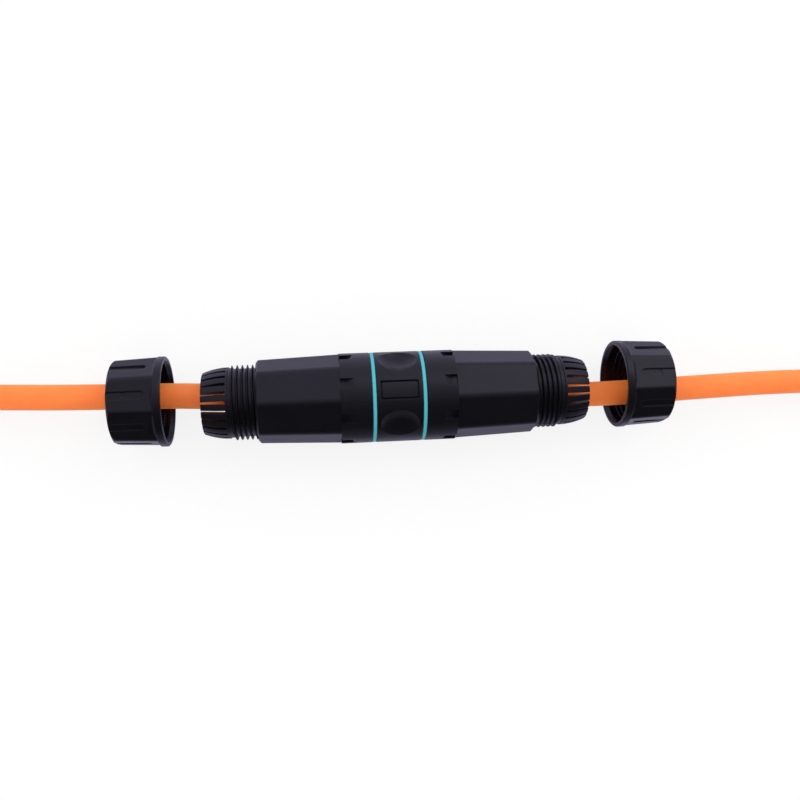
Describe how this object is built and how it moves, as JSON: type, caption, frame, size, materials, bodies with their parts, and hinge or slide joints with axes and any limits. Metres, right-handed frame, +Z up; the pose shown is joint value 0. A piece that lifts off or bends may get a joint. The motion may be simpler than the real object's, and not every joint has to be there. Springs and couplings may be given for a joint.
{
  "type": "inline network cable coupler",
  "caption": "Waterproof inline network cable coupler: grip sleeve, tapered octagonal end shells, claw glands, loose screw nuts and orange leads that end in modular plugs.",
  "frame": {"origin": "on the floor, under the middle of the coupler's axis", "axes": "+X along the coupler's axis to the right-hand lead, +Y across it, towards the top of the picture, +Z up from the floor"},
  "size_m": [0.5058, 0.029, 0.027],
  "materials": {
    "housing_plastic": "satin moulded",
    "nut_plastic": "satin moulded",
    "seal_rubber": "smooth silicone",
    "cable_jacket": "smooth jacket",
    "boot_rubber": "matte moulded",
    "grommet_rubber": "matte",
    "plug_plastic": "clear polycarbonate",
    "jack_plastic": "moulded",
    "contact_metal": "gold flash"
  },
  "bodies": {
    "coupler": {"centre_sleeve": "housing_plastic", "jack_housing": "jack_plastic", "jack_springs": "contact_metal", "left_seal_ring": "seal_rubber", "left_end_shell": "housing_plastic", "left_inner_plug": "plug_plastic", "left_inner_plug_contacts": "contact_metal", "left_cable": "cable_jacket", "left_cable_grommet": "grommet_rubber", "left_far_plug": "plug_plastic", "left_far_plug_contacts": "contact_metal", "left_plug_boot": "boot_rubber", "right_seal_ring": "seal_rubber", "right_end_shell": "housing_plastic", "right_inner_plug": "plug_plastic", "right_inner_plug_contacts": "contact_metal", "right_cable": "cable_jacket", "right_cable_grommet": "grommet_rubber", "right_far_plug": "plug_plastic", "right_far_plug_contacts": "contact_metal", "right_plug_boot": "boot_rubber"},
    "left_nut": {"left_gland_nut": "nut_plastic"},
    "right_nut": {"right_gland_nut": "nut_plastic"}
  },
  "joints": [
    {"name": "left_nut_slide", "type": "slide", "parent": "coupler", "child": "left_nut", "axis": [0.9986, -0.0533, 0], "range_m": [-0.007, 0.02253]},
    {"name": "right_nut_slide", "type": "slide", "parent": "coupler", "child": "right_nut", "axis": [-0.9986, -0.0533, 0], "range_m": [-0.007, 0.02253]}
  ]
}
